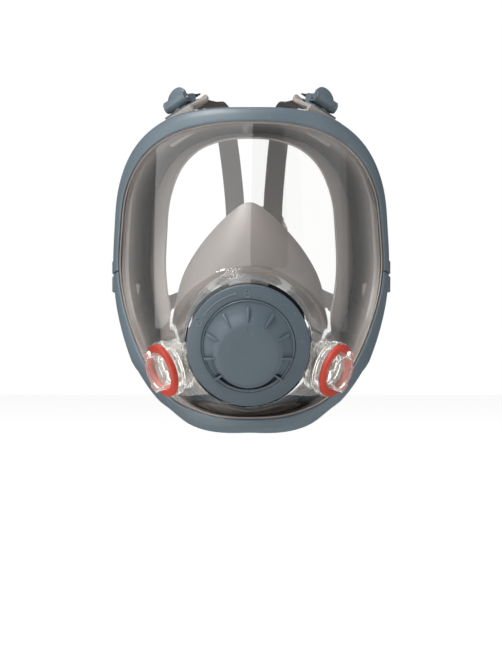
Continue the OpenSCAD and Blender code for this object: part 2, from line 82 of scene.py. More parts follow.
# one section is drawn as a ring of edges and extruded from place to place
def loft(sections, wrap=True):
    bm = bmesh.new()
    around = bm.verts.layers.int.new("around")
    ring = bmesh.ops.create_circle(bm, segments=len(sections[0]), radius=0.01)["verts"]
    for k, v in enumerate(ring):
        v[around] = k
        v.co = sections[0][k] * mm
    edges = list(bm.edges)
    if not wrap:
        bmesh.ops.contextual_create(bm, geom=list(edges))
    for section in sections[1:] + (sections[:1] if wrap else []):
        made = bmesh.ops.extrude_edge_only(bm, edges=edges)["geom"]
        edges = [g for g in made if isinstance(g, bmesh.types.BMEdge)]
        for v in (g for g in made if isinstance(g, bmesh.types.BMVert)):
            v.co = section[v[around]] * mm
    if wrap:
        bmesh.ops.remove_doubles(bm, verts=bm.verts, dist=1e-7)
    else:
        bmesh.ops.contextual_create(bm, geom=edges)
    bmesh.ops.recalc_face_normals(bm, faces=bm.faces)
    return bm


def piece(name, bm, material, body="mask", stands=(), smooth=45, subdivide=0):
    mesh = bpy.data.meshes.new(name)
    bm.to_mesh(mesh)
    bm.free()
    obj = bpy.data.objects.new(name, mesh)
    bpy.context.scene.collection.objects.link(obj)
    mesh.materials.append(material)
    mesh.polygons.foreach_set("use_smooth", [True] * len(mesh.polygons))
    mesh.set_sharp_from_angle(angle=math.radians(smooth))
    if subdivide:
        mod = obj.modifiers.new("Subdivision", "SUBSURF")
        mod.levels = mod.render_levels = subdivide
    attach(obj, body)
    if stands:
        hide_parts(*stands)


# joins one bmesh into another, placed by a matrix
def joinInto(bm, other, matrix=None):
    mesh = bpy.data.meshes.new("joining")
    if matrix is not None:
        bmesh.ops.transform(other, matrix=matrix, verts=other.verts)
    other.to_mesh(mesh)
    other.free()
    bm.from_mesh(mesh)
    bpy.data.meshes.remove(mesh)


# turns a profile of (radius, height) pairs, in mm, about Z
def turned(profile, segments=128, closed=True):
    bm = bmesh.new()
    verts = [bm.verts.new((r * mm, 0, h * mm)) for r, h in profile]
    for a, b in zip(verts, verts[1:] + (verts[:1] if closed else [])):
        bm.edges.new((a, b))
    bmesh.ops.spin(bm, geom=list(bm.verts) + list(bm.edges), axis=(0, 0, 1), cent=(0, 0, 0),
                   steps=segments, angle=math.tau, use_merge=True)
    bmesh.ops.remove_doubles(bm, verts=bm.verts, dist=1e-6)
    bmesh.ops.recalc_face_normals(bm, faces=bm.faces)
    return bm


# a block with its low and high corners in mm and its edges rounded
def block(low, high, round=0.0, segments=2):
    bm = bmesh.new()
    bmesh.ops.create_cube(bm, size=1.0)
    low, high = Vector(low), Vector(high)
    bmesh.ops.scale(bm, vec=(high - low) * mm, verts=bm.verts)
    bmesh.ops.translate(bm, vec=(low + high) / 2 * mm, verts=bm.verts)
    if round:
        bmesh.ops.bevel(bm, geom=bm.edges, offset=round * mm, segments=segments, profile=0.5,
                        affect="EDGES", material=-1)
    return bm


# an outline of points in one plane pushed to a thickness, its edges rounded
def slab(points, lift, round=0.3):
    bm = bmesh.new()
    face = bm.faces.new([bm.verts.new(Vector(p) * mm) for p in points])
    raised = bmesh.ops.extrude_face_region(bm, geom=[face])["geom"]
    moved = [g for g in raised if isinstance(g, bmesh.types.BMVert)]
    bmesh.ops.translate(bm, vec=Vector(lift) * mm, verts=moved)
    bmesh.ops.recalc_face_normals(bm, faces=bm.faces)
    if round:
        bmesh.ops.bevel(bm, geom=bm.edges, offset=round * mm, segments=2, profile=0.5,
                        affect="EDGES", material=-1)
    return bm


# shader groups
def newGroup(name, inputs, outputs):
    group = bpy.data.node_groups.new(name, "ShaderNodeTree")
    for label, kind, value in inputs:
        socket = group.interface.new_socket(label, in_out="INPUT", socket_type=kind)
        socket.default_value = value
    for label, kind in outputs:
        group.interface.new_socket(label, in_out="OUTPUT", socket_type=kind)
    return group, group.nodes.new("NodeGroupInput"), group.nodes.new("NodeGroupOutput")


def node(tree, kind, **settings):
    made = tree.nodes.new(kind)
    for key, value in settings.items():
        setattr(made, key, value)
    return made


# fine moulded grain over slow cloudy tone changes, with a little settled dust
def buildGrain():
    group, into, out = newGroup("mouldedGrain", [
        ("Base", "NodeSocketColor", (0.2, 0.2, 0.2, 1)), ("Tint", "NodeSocketColor", (0.25, 0.25, 0.25, 1)),
        ("Grain Scale", "NodeSocketFloat", 900.0), ("Grain Depth", "NodeSocketFloat", 0.1),
        ("Rough", "NodeSocketFloat", 0.45), ("Rough Spread", "NodeSocketFloat", 0.12)],
        [("Color", "NodeSocketColor"), ("Roughness", "NodeSocketFloat"), ("Normal", "NodeSocketVector")])
    link = group.links.new
    place = node(group, "ShaderNodeTexCoord")
    fine = node(group, "ShaderNodeTexNoise")
    fine.inputs["Detail"].default_value = 3
    cloud = node(group, "ShaderNodeTexNoise")
    cloud.inputs["Scale"].default_value = 22
    cloud.inputs["Detail"].default_value = 4
    specks = node(group, "ShaderNodeTexNoise")
    specks.inputs["Scale"].default_value = 260
    specks.inputs["Detail"].default_value = 6
    for n in (fine, cloud, specks):
        link(place.outputs["Object"], n.inputs["Vector"])
    link(into.outputs["Grain Scale"], fine.inputs["Scale"])
    tone = node(group, "ShaderNodeMapRange")
    tone.inputs["From Min"].default_value = 0.36
    tone.inputs["From Max"].default_value = 0.66
    link(cloud.outputs["Fac"], tone.inputs["Value"])
    mix = node(group, "ShaderNodeMix", data_type="RGBA")
    link(tone.outputs["Result"], mix.inputs["Factor"])
    link(into.outputs["Base"], mix.inputs["A"])
    link(into.outputs["Tint"], mix.inputs["B"])
    dustMask = node(group, "ShaderNodeMapRange")
    dustMask.inputs["From Min"].default_value = 0.64
    dustMask.inputs["From Max"].default_value = 0.74
    dustMask.inputs["To Max"].default_value = 0.05
    link(specks.outputs["Fac"], dustMask.inputs["Value"])
    dusty = node(group, "ShaderNodeMix", data_type="RGBA")
    dusty.inputs["B"].default_value = (0.55, 0.54, 0.52, 1)
    link(dustMask.outputs["Result"], dusty.inputs["Factor"])
    link(mix.outputs["Result"], dusty.inputs["A"])
    link(dusty.outputs["Result"], out.inputs["Color"])
    swing = node(group, "ShaderNodeMath", operation="SUBTRACT")
    swing.inputs[1].default_value = 0.5
    link(specks.outputs["Fac"], swing.inputs[0])
    rough = node(group, "ShaderNodeMath", operation="MULTIPLY_ADD", use_clamp=True)
    link(swing.outputs[0], rough.inputs[0])
    link(into.outputs["Rough Spread"], rough.inputs[1])
    link(into.outputs["Rough"], rough.inputs[2])
    link(rough.outputs[0], out.inputs["Roughness"])
    bump = node(group, "ShaderNodeBump")
    bump.inputs["Distance"].default_value = 0.0002
    link(into.outputs["Grain Depth"], bump.inputs["Strength"])
    link(fine.outputs["Fac"], bump.inputs["Height"])
    link(bump.outputs["Normal"], out.inputs["Normal"])
    return group


grainGroup = buildGrain()


# a moulded plastic or rubber finish from the grain group
def moulded(name, base, tint, rough=0.45, grain=900, depth=0.1, spread=0.12, **shader):
    mat = bpy.data.materials.new(name)
    mat.use_nodes = True
    tree = mat.node_tree
    surface = tree.nodes["Principled BSDF"]
    grainNode = node(tree, "ShaderNodeGroup", node_tree=grainGroup)
    grainNode.inputs["Base"].default_value = (*base, 1)
    grainNode.inputs["Tint"].default_value = (*tint, 1)
    grainNode.inputs["Grain Scale"].default_value = grain
    grainNode.inputs["Grain Depth"].default_value = depth
    grainNode.inputs["Rough"].default_value = rough
    grainNode.inputs["Rough Spread"].default_value = spread
    for out, into in (("Color", "Base Color"), ("Roughness", "Roughness"), ("Normal", "Normal")):
        tree.links.new(grainNode.outputs[out], surface.inputs[into])
    for key, value in shader.items():
        surface.inputs[key.replace("_", " ")].default_value = value
    return mat


# clear plastic that lets light through to what is behind it
def clearPlastic(name, colour, rough=0.02, ior=1.46, wave=0.02, clear=1.0):
    mat = bpy.data.materials.new(name)
    mat.use_nodes = True
    tree = mat.node_tree
    link = tree.links.new
    surface = tree.nodes["Principled BSDF"]
    surface.inputs["Base Color"].default_value = (*colour, 1)
    surface.inputs["Roughness"].default_value = rough
    surface.inputs["IOR"].default_value = ior
    surface.inputs["Transmission Weight"].default_value = clear
    place = node(tree, "ShaderNodeTexCoord")
    ripple = node(tree, "ShaderNodeTexNoise")
    ripple.inputs["Scale"].default_value = 30
    bump = node(tree, "ShaderNodeBump")
    bump.inputs["Strength"].default_value = wave
    bump.inputs["Distance"].default_value = 0.001
    link(place.outputs["Object"], ripple.inputs["Vector"])
    link(ripple.outputs["Fac"], bump.inputs["Height"])
    link(bump.outputs["Normal"], surface.inputs["Normal"])
    through = node(tree, "ShaderNodeBsdfTransparent")
    through.inputs["Color"].default_value = (0.93, 0.93, 0.92, 1)
    path = node(tree, "ShaderNodeLightPath")
    mix = node(tree, "ShaderNodeMixShader")
    link(path.outputs["Is Shadow Ray"], mix.inputs["Fac"])
    link(surface.outputs["BSDF"], mix.inputs[1])
    link(through.outputs["BSDF"], mix.inputs[2])
    link(mix.outputs["Shader"], tree.nodes["Material Output"].inputs["Surface"])
    return mat


shellMat = moulded("shellNylon", (0.078, 0.104, 0.124), (0.09, 0.117, 0.137),
                   rough=0.42, grain=1400, depth=0.08, Specular_IOR_Level=0.4)
dialMat = moulded("dialNylon", (0.05, 0.071, 0.088), (0.058, 0.08, 0.098),
                  rough=0.4, grain=1600, depth=0.06, Specular_IOR_Level=0.4)
# the raised marks get a lighter copy of the dial's nylon, a painted highlight standing in for their lit edges
markPaintedHighlightMat = moulded("raisedMarksPaintedHighlight", (0.11, 0.14, 0.165), (0.125, 0.155, 0.18),
                  rough=0.35, grain=1600, depth=0.05)
siliconeMat = moulded("warmSilicone", (0.27, 0.238, 0.222), (0.295, 0.264, 0.248),
                      rough=0.42, grain=1600, depth=0.02)
cupMat = moulded("cupSilicone", (0.13, 0.112, 0.105), (0.145, 0.126, 0.118),
                 rough=0.45, grain=1600, depth=0.02)
gasketMat = moulded("orangeRubber", (0.33, 0.024, 0.011), (0.38, 0.032, 0.016),
                    rough=0.5, grain=700, depth=0.1, Specular_IOR_Level=0.25)
darkRubberMat = moulded("darkRubber", (0.035, 0.034, 0.033), (0.05, 0.048, 0.046),
                        rough=0.6, grain=700, depth=0.2)
strapMat = moulded("ribbedStrap", (0.058, 0.05, 0.045), (0.075, 0.066, 0.06),
                   rough=0.6, grain=1200, depth=0.3)
seatMat = moulded("greyNylon", (0.14, 0.122, 0.114), (0.16, 0.14, 0.13),
                  rough=0.45, grain=1200, depth=0.05)
flapMat = moulded("flapSilicone", (0.16, 0.14, 0.13), (0.18, 0.16, 0.15),
                  rough=0.4, grain=700, depth=0.03)
steelMat = moulded("brightZinc", (0.5, 0.51, 0.53), (0.58, 0.58, 0.58),
                   rough=0.3, grain=2000, depth=0.15, Metallic=1.0)
lensMat = clearPlastic("lensClear", (0.965, 0.965, 0.955), rough=0.02, ior=1.58)
portMat = clearPlastic("portClear", (0.95, 0.94, 0.91), rough=0.16, ior=1.16, wave=0.25, clear=0.92)
print("finishes made")

# the outline and surface that lens, frame and seal share, in mm
shape = {
    "lensRadius": 100, "lensFront": 72, "bulgeRadius": 400, "lensThick": 2.2,
    "snoutRadius": 43, "snoutFront": 95, "snoutZ": -53, "snoutTilt": math.radians(9), "blend": 0.3,
    "outline": [(0, 100.5), (30, 98.8), (56.5, 91.8), (76, 77.5), (88, 55), (91.8, 28), (93, -1),
                (87.8, -29), (75, -61.5), (56, -88), (29.5, -101.5), (0, -104.3)],
}
outline = mirrored(shape["outline"])
perStep = 8


def cylinderDepth(x, z):
    return shape["lensRadius"] - shape["lensFront"] - math.sqrt(max(1, shape["lensRadius"] ** 2 - x * x)) \
        + z * z / (2 * shape["bulgeRadius"])


def snoutDepth(x, z):
    dz = z - shape["snoutZ"]
    rho, angle = math.hypot(x, dz), math.atan2(dz, abs(x))
    degrees = math.degrees(angle)
    slope = 1.9 + 1.6 * smoothStep(-8, 20, degrees) + 3.2 * smoothStep(30, 85, -degrees)
    return -shape["snoutFront"] - math.tan(shape["snoutTilt"]) * shape["snoutRadius"] * math.sin(angle) \
        + slope * (rho - shape["snoutRadius"])


def onLens(q):
    a, b = cylinderDepth(q[0], q[1]), snoutDepth(q[0], q[1])
    low, k = min(a, b), shape["blend"]
    depth = low - math.log(math.exp(-k * (a - low)) + math.exp(-k * (b - low))) / k
    return Vector((q[0], depth, q[1]))


def lensNormal(q):
    d = 0.4
    dx = onLens((q[0] + d, q[1])) - onLens((q[0] - d, q[1]))
    dz = onLens((q[0], q[1] + d)) - onLens((q[0], q[1] - d))
    return dx.cross(dz).normalized()


def station(u):
    q = closedAt(outline, u)
    normal = lensNormal(q)
    along = (onLens(closedAt(outline, u + 0.05)) - onLens(closedAt(outline, u - 0.05))).normalized()
    return onLens(q), -along.cross(normal).normalized(), normal, q


def place(s, o, n):
    return s[0] + s[1] * o + s[2] * n


stations = [station(i / perStep) for i in range(len(outline) * perStep)]

# the snout's own frame: heights run forward from its rim
snoutFrame = Matrix.Translation(Vector((0, -shape["snoutFront"], shape["snoutZ"])) * mm) \
    @ Matrix.Rotation(math.radians(90) + shape["snoutTilt"], 4, "X")


def rimPoint(q, r):
    angle = math.atan2(q[1] - shape["snoutZ"], q[0])
    return Vector((r * math.cos(angle), shape["snoutZ"] + r * math.sin(angle)))


# lens
lensSettings = {"rings": 26, "edge": 6, "lipStep": 2.6, "lipDeep": 5}


def makeLens():
    sections = []
    n, edge, thick = lensSettings["rings"], lensSettings["edge"], shape["lensThick"]
    for s in stations:
        q = s[3]
        rim = rimPoint(q, shape["snoutRadius"])
        across = [q + (rim - q) * (k / n) ** 0.8 for k in range(n + 1)]
        down = rimPoint(q, shape["snoutRadius"] - lensSettings["lipStep"])
        lip = onLens(rim).y
        section = [place(s, edge, -thick)]
        section += [onLens(p) - lensNormal(p) * thick for p in across[:-1]]
        section += [Vector((down.x, lip + back, down.y)) for back in (lensSettings["lipDeep"], 0.2)]
        section += [onLens(p) for p in reversed(across)]
        section += [place(s, edge, 0)]
        sections.append(section)
    return loft(sections)


piece("lens", makeLens(), lensMat, stands=["lens"], smooth=50)
print("lens made")

# frame halves
frameSettings = {
    "top": 11.6, "side": 14, "seamAt": 6, "seamGap": 0.02, "boss": (96.2, 6.8), "bossRadius": 4.4,
    "upperBoss": (-3, 7), "lowerBoss": (-16, -4.2),
}


def frameSection(s):
    top, side = frameSettings["top"], frameSettings["side"]
    w = top + (side - top) * smoothStep(0, 60, abs(s[0].x))
    points = [(0, 1.6), (0, 2.4), (1.2, 3.1), (w / 2, 3.2), (w - 2.2, 2.3), (w - 0.6, 0.3), (w, -2.4),
              (w - 0.2, -6.4), (w - 1.6, -7.2), (4.5, -7.2), (4.5, -5.1), (9.1, -5.1), (9.1, 1.6)]
    soft = rounded([Vector(p) for p in points], 0.9, 2)
    return [place(s, p.x, p.y) for p in soft]


def makeFrameHalf(start, end, boss):
    steps = (end - start) * perStep
    sections = []
    for i in range(steps + 1):
        u = start + (end - start) * i / steps
        u += frameSettings["seamGap"] if i == 0 else -frameSettings["seamGap"] if i == steps else 0
        sections.append(frameSection(station(u)))
    bm = loft(sections, wrap=False)
    x, y = frameSettings["boss"]
    r = frameSettings["bossRadius"]
    low, high = boss
    for side in (-1, 1):
        post = turned([(0, low), (r - 0.8, low), (r, low + 0.8), (r, high - 0.8), (r - 0.8, high), (0, high)],
                      40, closed=False)
        joinInto(bm, post, Matrix.Translation((side * x * mm, y * mm, 0)))
    return bm


seam = frameSettings["seamAt"]
piece("upperFrame", makeFrameHalf(-seam, seam, frameSettings["upperBoss"]), shellMat,
      stands=["frame_upper"], smooth=50)
piece("lowerFrame", makeFrameHalf(seam, len(outline) - seam, frameSettings["lowerBoss"]), shellMat,
      stands=["frame_lower"], smooth=50)
print("frame halves made")

# harness stations, shared by lugs, buckles and straps
holds = {
    "upper": ((47.9, -18.5, 112.9), (-0.42, 0.86, 0.27), (0.49, -0.02, 0.86)),
    "lower": ((80, 34, -26), (-0.22, 0.97, -0.04), (0.97, 0.22, 0)),
}
sides = {-1: "left", 1: "right"}


def holdAxes(row, side):
    base, along, out = [Vector((v[0] * side, v[1], v[2])) for v in holds[row]]
    along.normalize()
    out = (out - along * out.dot(along)).normalized()
    return base, along.cross(out), along, out


def holdFrame(row, side):
    b, u, v, w = holdAxes(row, side)
    m = Matrix((u, v, w)).transposed().to_4x4()
    m.translation = b * mm
    return m


# face seal with its four lugs
sealSettings = {
    "lip": (0.667, 0.91), "fold": (0.85, 0.975), "chin": 8,
    # the last three settings paint shade into the seal's colour: a dark band from the fold round towards the
    # lip
    "paintedShadeStart": 4, "paintedShade": [0.4, 1, 1, 0.8, 0.4, 0.12], "paintedShadeTone": (0.06, 0.058, 0.056),
}
lugSettings = {
    "thick": 3, "half": 12, "flare": 3, "end": 9, "endAt": 4,
    "root": {"upper": (13, 19.5), "lower": (30, 6.5)},
    "tip": [(-2, 15), (-8, 20), (-11, 20.4), (-13.2, 18.4), (-13.6, 14)], "tipFrom": 12, "tipLift": 3.6,
}


def lipDepth(x, z):
    return -42 + 44 * (x / 63) ** 2 + sealSettings["chin"] * (max(0, -z) / 100) ** 3


def sealSection(s):
    q = Vector((s[0].x, s[0].z))
    out = Vector((q.x * 1.2, 0, q.y)).normalized()
    lip2 = Vector((q.x * sealSettings["lip"][0], q.y * sealSettings["lip"][1]))
    fold2 = Vector((q.x * sealSettings["fold"][0], q.y * sealSettings["fold"][1]))
    depth = lipDepth(lip2.x, lip2.y)
    lip = Vector((lip2.x, depth, lip2.y))
    fold = Vector((fold2.x, depth + 15 + 5 * (lip2.x / 63) ** 2, fold2.y))
    foot = place(s, 3.2, -8.2)
    middle = (foot + fold) / 2 + out * 1.5
    back = (fold + lip) / 2 + Vector((0, 2, 0))
    inner = place(s, 1.5, -7)
    up = Vector((0, 1, 0))
    # the outside wall from the groove to the fold, then the turned-in lip, as two smooth runs
    outer = [foot, middle, fold, fold - out * 3 + up * 1.6, back, lip + up * 0.6, lip - out * 1.2]
    innerRun = [lip - up * 0.9, back - up * 2.4, fold - out * 4.4 - up * 1.6, middle - out * 2.6, inner]
    run = [openAt(outer, k / 2) for k in range(2 * len(outer) - 1)]
    run += [openAt(innerRun, k / 2) for k in range(2 * len(innerRun) - 1)]
    groove = [place(s, o, n) for o, n in ((1.5, -2.8), (6.5, -2.8), (6.5, 0.45), (-1, 0.45), (-1, 1),
                                          (8.5, 0.9), (8.5, -4.7), (3.7, -4.7))]
    return run + groove


def makeLug(row, side):
    s = lugSettings
    thick, wide, end, endAt = s["thick"], s["half"] + s["flare"], s["end"], s["endAt"]
    back, deep = s["root"][row]
    # the tab: an outline round the buckle's foot and a longer tip on the inner side
    points = [(-wide, -back), (wide, -back), (end, endAt)]
    points += [(end * math.cos(a), endAt + end * math.sin(a)) for a in (0.5, 1.0, 1.5, 2.1, 2.6)]
    points += [(-end, endAt)]
    if side > 0:
        points = points[:5] + s["tip"]
    else:
        points = points[:2] + [(-x, y) for x, y in reversed(s["tip"])] + points[5:]
    bm = slab([(x, y, -thick) for x, y in points], (0, 0, thick - 0.1), 0.7)
    corners = [(-wide, -deep), (wide, -deep), (wide, -0.1), (-wide, -0.1)]
    joinInto(bm, slab([(x, 2 - back, z) for x, z in corners], (0, -4, 0), 0.9))
    if row == "upper":
        # the free tip stands up off the strap
        for v in bm.verts:
            v.co.z += s["tipLift"] * mm * (max(0, v.co.y / mm - s["tipFrom"]) / 8) ** 2
    bmesh.ops.transform(bm, matrix=holdFrame(row, side), verts=bm.verts)
    return bm


# how dark the painted shade along the seal's fold is at one point round the section
def paintedShadeAt(k):
    step = k - sealSettings["paintedShadeStart"]
    return sealSettings["paintedShade"][step] if 0 <= step < len(sealSettings["paintedShade"]) else 0


def makeSeal():
    bm = loft([sealSection(s) for s in stations])
    around = bm.verts.layers.int["around"]
    shades = [paintedShadeAt(v[around]) for v in bm.verts]
    for row in holds:
        for side in sides:
            joinInto(bm, makeLug(row, side))
    # joining the lugs drops a layer, so the painted shade is written after them
    paintedShade = bm.verts.layers.float.new("paintedCreaseShade")
    for v, shade in zip(bm.verts, shades):
        v[paintedShade] = shade
    return bm


# the seal's silicone, darkened by painted shade where the attribute marks the fold
def makeSealPaintedShadeFinish():
    mat = siliconeMat.copy()
    mat.name = "sealSiliconePaintedShade"
    tree = mat.node_tree
    into = tree.nodes["Principled BSDF"].inputs["Base Color"]
    plain = into.links[0].from_socket
    paintedShade = node(tree, "ShaderNodeAttribute", attribute_name="paintedCreaseShade")
    dim = node(tree, "ShaderNodeMix", data_type="RGBA", blend_type="MULTIPLY")
    dim.inputs["B"].default_value = (*sealSettings["paintedShadeTone"], 1)
    tree.links.new(paintedShade.outputs["Fac"], dim.inputs["Factor"])
    tree.links.new(plain, dim.inputs["A"])
    tree.links.new(dim.outputs["Result"], into)
    return mat


piece("faceSeal", makeSeal(), makeSealPaintedShadeFinish(), stands=["face_seal"], smooth=40)
print("face seal made")

# nose cup
cupSettings = {
    "stations": 96, "steps": 12, "neck": 33.55, "collar": 36,
    "front": -28, "shoulder": -36.4, "end": -38.4,
    "outline": [(0, 45.5), (13, 38.5), (27, 25), (38, 11.5), (47, -4), (51.5, -20), (51, -40),
                (44, -62), (30, -80), (14, -89), (0, -91.5)],
}
cupOutline = mirrored(cupSettings["outline"])


def snoutPoint(r, angle, h):
    t = shape["snoutTilt"]
    x, up = r * math.sin(angle), r * math.cos(angle)
    return Vector((x, -shape["snoutFront"] - h * math.cos(t) - up * math.sin(t),
                   shape["snoutZ"] - h * math.sin(t) + up * math.cos(t)))


def cupRim(k):
    q = closedAt(cupOutline, k / cupSettings["stations"] * len(cupOutline))
    return Vector((q.x, -52 + 27 * (q.x / 51) ** 2 + 10 * (max(0, -q.y) / 92) ** 3, q.y))


def cupWall(k, t, inset):
    angle = math.tau * k / cupSettings["stations"]
    rim = cupRim(k)
    c = snoutPoint(cupSettings["collar"] - inset, angle, cupSettings["shoulder"])
    mid = (c + rim) / 2 + Vector((0, -7, 0)) + Vector((rim.x, 0, rim.z + 47)).normalized() * 5
    r = rim - inset * Vector((rim.x, 0, rim.z + 30)).normalized()
    return c * (1 - t) ** 2 + mid * 2 * t * (1 - t) + r * t * t + Vector((0, inset * 0.7 * t, 0))


def cupSection(k):
    steps, neck, front = cupSettings["steps"], cupSettings["neck"], cupSettings["front"]
    angle = math.tau * k / cupSettings["stations"]
    rim = cupRim(k)
    rimOut = Vector((rim.x, 0, rim.z + 30)).normalized()
    turnedIn = rim - 7 * rimOut + Vector((0, -2, 0))
    section = [snoutPoint(neck, angle, front), snoutPoint(cupSettings["collar"], angle, front)]
    section += [cupWall(k, i / steps, 0) for i in range(steps + 1)]
    section += [rim - 3 * rimOut + Vector((0, 0.9, 0)), turnedIn + Vector((0, 1.1, 0)), turnedIn]
    section += [cupWall(k, i / steps, 2) for i in range(steps, 0, -1)]
    section += [snoutPoint(neck, angle, cupSettings["end"])]
    return section


piece("noseCup", loft([cupSection(k) for k in range(cupSettings["stations"])]), cupMat,
      stands=["nose_cup"], smooth=60)
print("nose cup made")

# straps
strapSettings = {
    "width": 15, "thick": 1.4, "bar": (6.5, 5), "barRadius": 1.6, "ribs": 7, "fine": 6,
    "route": {"upper": [(32, 14, 120), (26.5, 40, 122.5), (22, 76, 116), (18.5, 108, 93), (15.5, 130, 62)],
              "lower": [(74, 62, -27), (64, 90, -24), (50, 114, -17)]},
    "pad": {"upper": [(14.5, 42), (13, 30)], "lower": [(35, -5), (26, 4), (19, 11)]},
    "across": {"upper": [(0.87, 0.36, -0.3), (0.94, 0.2, -0.24), (0.97, 0, -0.15), (0.98, -0.12, -0.08),
                         (0.98, -0.16, 0), (0.98, -0.18, 0), (0.98, -0.16, 0)],
               "lower": [(0, 0, -1), (0, 0.05, -1), (0.1, 0.05, -1), (0.35, -0.15, -0.9), (0.5, -0.15, -0.85),
                         (0.5, -0.12, -0.85)]},
}
padSettings = {
    "radius": 80, "thick": 2.6, "centre": 62, "sheet": (80, 68), "middle": 21,
    "slots": (10, 20, 30), "slotHalf": 2.2,
}


def onPad(x, z):
    r = padSettings["radius"] - padSettings["thick"] - 1.9
    return Vector((x, padSettings["centre"] + math.sqrt(r * r - x * x), z))


def makeStrap(row, side):
    b, u, v, w = holdAxes(row, side)
    barY, barZ = strapSettings["bar"]
    wrap = strapSettings["barRadius"] + 0.2 + strapSettings["thick"] / 2
    near = [(21, 5.6), (15.5, 6.2), (10.5, 7.3)]
    near += [(barY + wrap * math.cos(math.radians(t)), barZ + wrap * math.sin(math.radians(t)))
             for t in range(90, 271, 30)]
    near += [(11, 2.4), (19, 1.6)]
    points = [b + v * y + w * z for y, z in near]
    far = [Vector(p) for p in strapSettings["route"][row]]
    far += [onPad(x, z) for x, z in strapSettings["pad"][row]]
    points += [Vector((p.x * side, p.y, p.z)) for p in far]
    wide = [u.copy() for p in near]
    wide += [Vector((p[0], p[1] * side, p[2] * side)) for p in strapSettings["across"][row]]
    half, thick = strapSettings["width"] / 2, strapSettings["thick"] / 2
    # ribs run along the strap on both faces
    ribs, fine = strapSettings["ribs"], strapSettings["fine"]
    rail = []
    for k in range(ribs * 2 + 1):
        x = -1 + 2 * k / (ribs * 2)
        rail.append((x * (half - 0.35), thick * (1.0 if k % 2 else 0.72)))
    profile = [(-half, -thick * 0.5), (-half, thick * 0.5)] + rail
    profile += [(half, thick * 0.5), (half, -thick * 0.5)]
    profile += [(x, -y) for x, y in reversed(rail)]
    sections = []
    last = len(points) - 1
    for i in range(last * fine + 1):
        t = i / fine
        d = (openAt(points, min(last, t + 0.05)) - openAt(points, max(0, t - 0.05))).normalized()
        across = openAt(wide, t)
        across = (across - d * across.dot(d)).normalized()
        up = d.cross(across)
        sections.append([openAt(points, t) + across * x + up * y for x, y in profile])
    return loft(sections, wrap=False)


for row in holds:
    for side, word in sides.items():
        piece("strap" + row.capitalize() + word.capitalize(), makeStrap(row, side), strapMat,
              stands=["strap_%s_%s" % (row, word)], smooth=50)
print("straps made")

# crown pad: a curved strip with rounded ends and three slots
def makeCrownPad():
    width, height = padSettings["sheet"]
    bm = bmesh.new()
    bmesh.ops.create_grid(bm, x_segments=56, y_segments=46, size=0.5)
    bmesh.ops.scale(bm, vec=(width * mm, height * mm, 1), verts=bm.verts)
    bmesh.ops.translate(bm, vec=(0, padSettings["middle"] * mm, 0), verts=bm.verts)

    # how far a place lies outside the pad's outline, in mm
    def outside(x, z):
        x = abs(x)
        if z > 6:
            wide = 31 + (15 - 31) * (z - 6) / 41 + 7.4
        else:
            wide = 31 + (20 - 31) * (6 - z) / 11 + 6.4
        return max(x - wide, z - 55, -13 - z)

    def inSlot(x, z):
        return any(abs(z - m) < padSettings["slotHalf"] and abs(x) < 17 - m * 0.28 + 1
                   for m in padSettings["slots"])

    def cutAway(face):
        c = face.calc_center_median()
        return outside(c.x / mm, c.y / mm) > 0.6 or inSlot(c.x / mm, c.y / mm)

    gone = [f for f in bm.faces if cutAway(f)]
    bmesh.ops.delete(bm, geom=gone, context="FACES")
    rim = [v for v in bm.verts if v.is_boundary]
    for turn in range(2):
        bmesh.ops.smooth_vert(bm, verts=rim, factor=0.5, use_axis_x=True, use_axis_y=True)
    r = padSettings["radius"]
    for v in bm.verts:
        x, z = v.co.x / mm, v.co.y / mm
        v.co = Vector((x, padSettings["centre"] + math.sqrt(r * r - x * x), z)) * mm
    bmesh.ops.recalc_face_normals(bm, faces=bm.faces)
    if sum(f.normal.y for f in bm.faces) < 0:
        bmesh.ops.reverse_faces(bm, faces=bm.faces)
    bmesh.ops.solidify(bm, geom=bm.faces, thickness=padSettings["thick"] * mm)
    return bm


piece("crownPad", makeCrownPad(), siliconeMat, stands=["crown_pad"], smooth=60, subdivide=1)
print("crown pad made")

# twist cover: a low set disc, so the slope is long at the top and upright at the breathing slot
coverSettings = {
    "stations": 288, "slotHalf": 46, "island": 22.6, "drop": 5.3, "rim": 31.4,
    "ribStep": 32, "ribWidth": 1.9, "ribNarrow": 0.45,
}


def coverSection(degrees):
    s = coverSettings
    a = math.radians(degrees)
    edge = math.sqrt(s["island"] ** 2 - (s["drop"] * math.sin(a)) ** 2) - s["drop"] * math.cos(a)
    fromBottom = 180 - abs((degrees + 180) % 360 - 180)
    low = 1 - smoothStep(s["slotHalf"] - 0.8, s["slotHalf"] + 0.8, fromBottom)

    def mix(a, b):
        return a + (b - a) * low
    rim = s["rim"]
    profile = [(0, 13.6), (edge * 0.5, 13.6), (edge - 3, 13.55), (edge - 1.5, 13.4), (edge - 0.6, 13.0)]
    # the slope from the disc's edge to the rim, a little hollow
    for t, drop in ((0.06, 0.5), (0.25, 1.9), (0.5, 3.5), (0.75, 4.6), (0.93, 5.05)):
        profile.append((mix(edge + (29.7 - edge) * t, edge + 0.05 * t), mix(13.05 - drop, 13.0 - 9 * t)))
    profile += [(mix(29.9, 29.2), mix(7.9, 4.2)), (mix(30.1, 29.3), mix(8.15, 4.3)),
                (mix(30.3, 29.4), mix(8.35, 8.1)), (mix(30.6, 29.8), 8.5), (rim - 0.3, 8.5),
                (rim - 0.05, 8.25), (rim, 7.9), (rim, 3.2), (rim - 2, 3.2), (mix(29.2, 29.35), 4.1),
                (mix(26.6, edge - 1.3), 4.1), (mix(26.4, edge - 1.4), 5.8), (edge - 1.8, 11.2), (0, 11.5)]
    return [Vector((r * math.sin(a), r * math.cos(a), h)) for r, h in profile]


